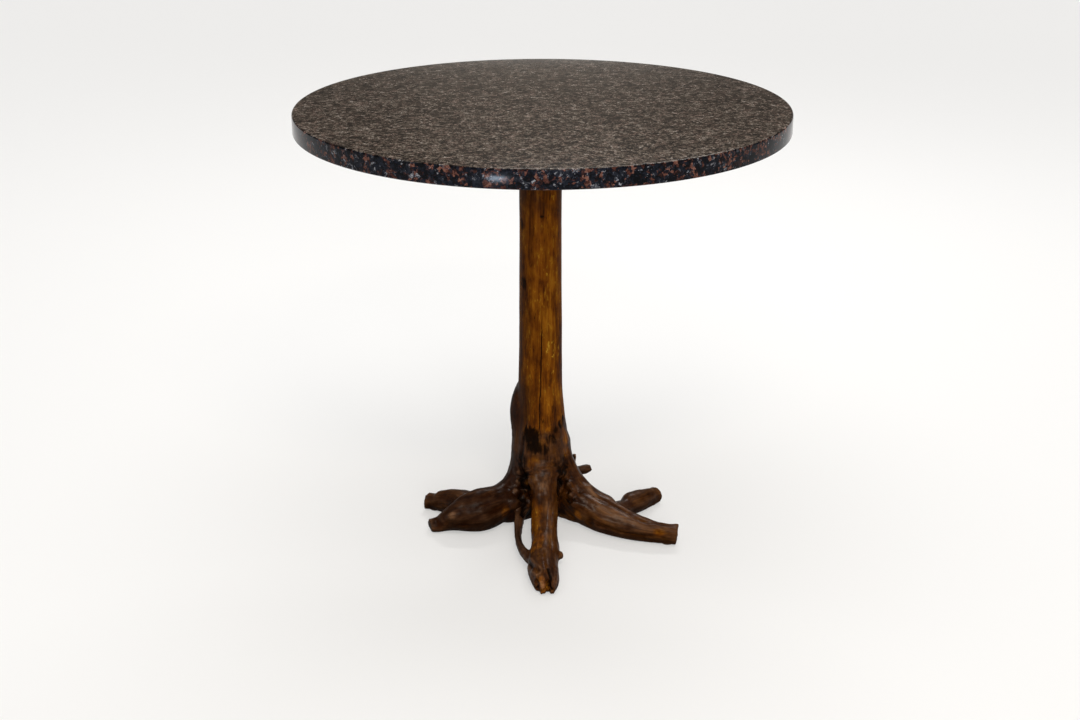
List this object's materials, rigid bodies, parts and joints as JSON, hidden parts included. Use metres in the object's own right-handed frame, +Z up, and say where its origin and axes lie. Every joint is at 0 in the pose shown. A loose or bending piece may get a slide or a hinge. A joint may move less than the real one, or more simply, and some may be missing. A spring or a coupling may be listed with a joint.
{
  "type": "pedestal dining table",
  "caption": "Round dining table: a polished speckled stone disc carried on a debarked tree-trunk pedestal that spreads into its own natural roots as feet.",
  "frame": {"origin": "on the floor, under the middle of the stone top", "axes": "+Z up, +X to the right seen from the front, +Y towards the back; the longest single root points to the front"},
  "size_m": [0.8399, 0.84, 0.75],
  "materials": {
    "granite": "polished, black and navy with reddish brown and grey grains",
    "stump_wood": "varnished, amber trunk and dark brown roots",
    "plate_steel": "satin black",
    "screw_steel": "zinc plated",
    "insert_brass": "plain",
    "silicone": "matte, cured in place",
    "felt": "dark felt"
  },
  "bodies": {
    "root": {"granite_top": "granite", "stump_pedestal": "stump_wood", "mounting_plate": "plate_steel", "wood_screws": "screw_steel", "stone_inserts": "insert_brass", "plate_bolts": "screw_steel", "plate_washers": "screw_steel", "bedding_dabs": "silicone", "felt_pad_front": "felt", "felt_pad_back": "felt", "felt_pad_left_front": "felt", "felt_pad_left_back": "felt", "felt_pad_right_front": "felt", "felt_pad_right_back": "felt"}
  },
  "joints": []
}
